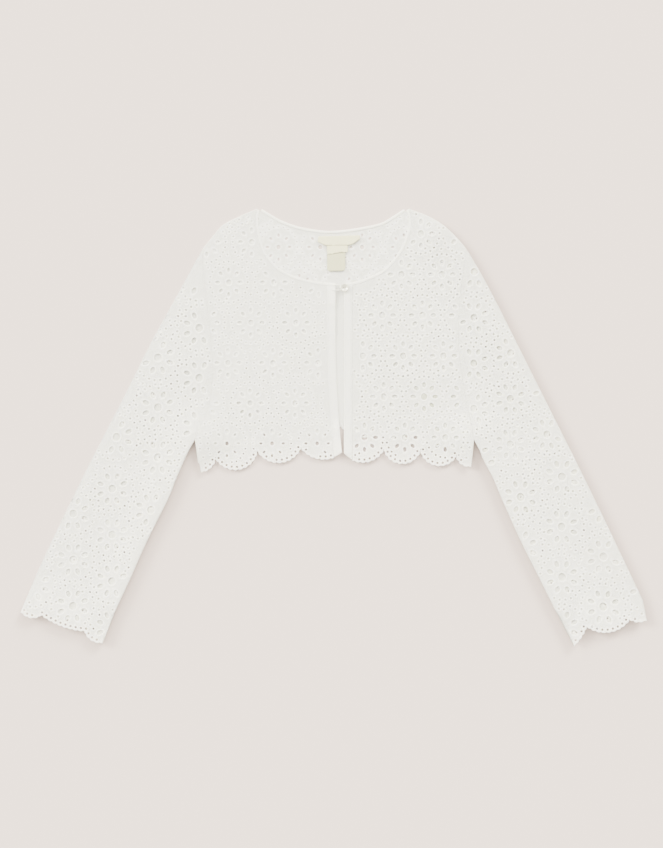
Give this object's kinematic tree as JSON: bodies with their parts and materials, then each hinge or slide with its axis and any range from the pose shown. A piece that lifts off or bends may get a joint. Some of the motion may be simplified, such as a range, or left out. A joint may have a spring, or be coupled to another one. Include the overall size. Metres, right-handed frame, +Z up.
{
  "type": "cropped eyelet cardigan",
  "caption": "Child's cropped long-sleeved cardigan of flower eyelet cloth, laid flat with its front up, with scalloped hem and cuffs, a bound round neck and a button and thread loop.",
  "frame": {"origin": "middle of the laid garment's rectangle in plan, on the surface it lies on", "axes": "+X to the wearer's left (the viewer's right), +Y towards the neck, +Z up out of the front of the garment"},
  "size_m": [0.717, 0.503, 0.0064],
  "materials": {
    "eyelet_cloth": "matt off-white cloth with stitched eyelets",
    "plain_trim": "matt off-white plain cloth",
    "label_ribbon": "soft ivory ribbon",
    "pearl": "pearly gloss"
  },
  "bodies": {
    "root": {"back": "eyelet_cloth", "front_right": "eyelet_cloth", "front_left": "eyelet_cloth", "sleeve_right_upper": "eyelet_cloth", "sleeve_right_under": "eyelet_cloth", "sleeve_left_upper": "eyelet_cloth", "sleeve_left_under": "eyelet_cloth", "neck_binding_back": "plain_trim", "neck_binding_right": "plain_trim", "neck_binding_left": "plain_trim", "front_band_right": "plain_trim", "front_band_left": "plain_trim", "button_loop": "plain_trim", "neck_label": "label_ribbon", "size_tab": "label_ribbon", "button": "pearl"}
  },
  "joints": []
}
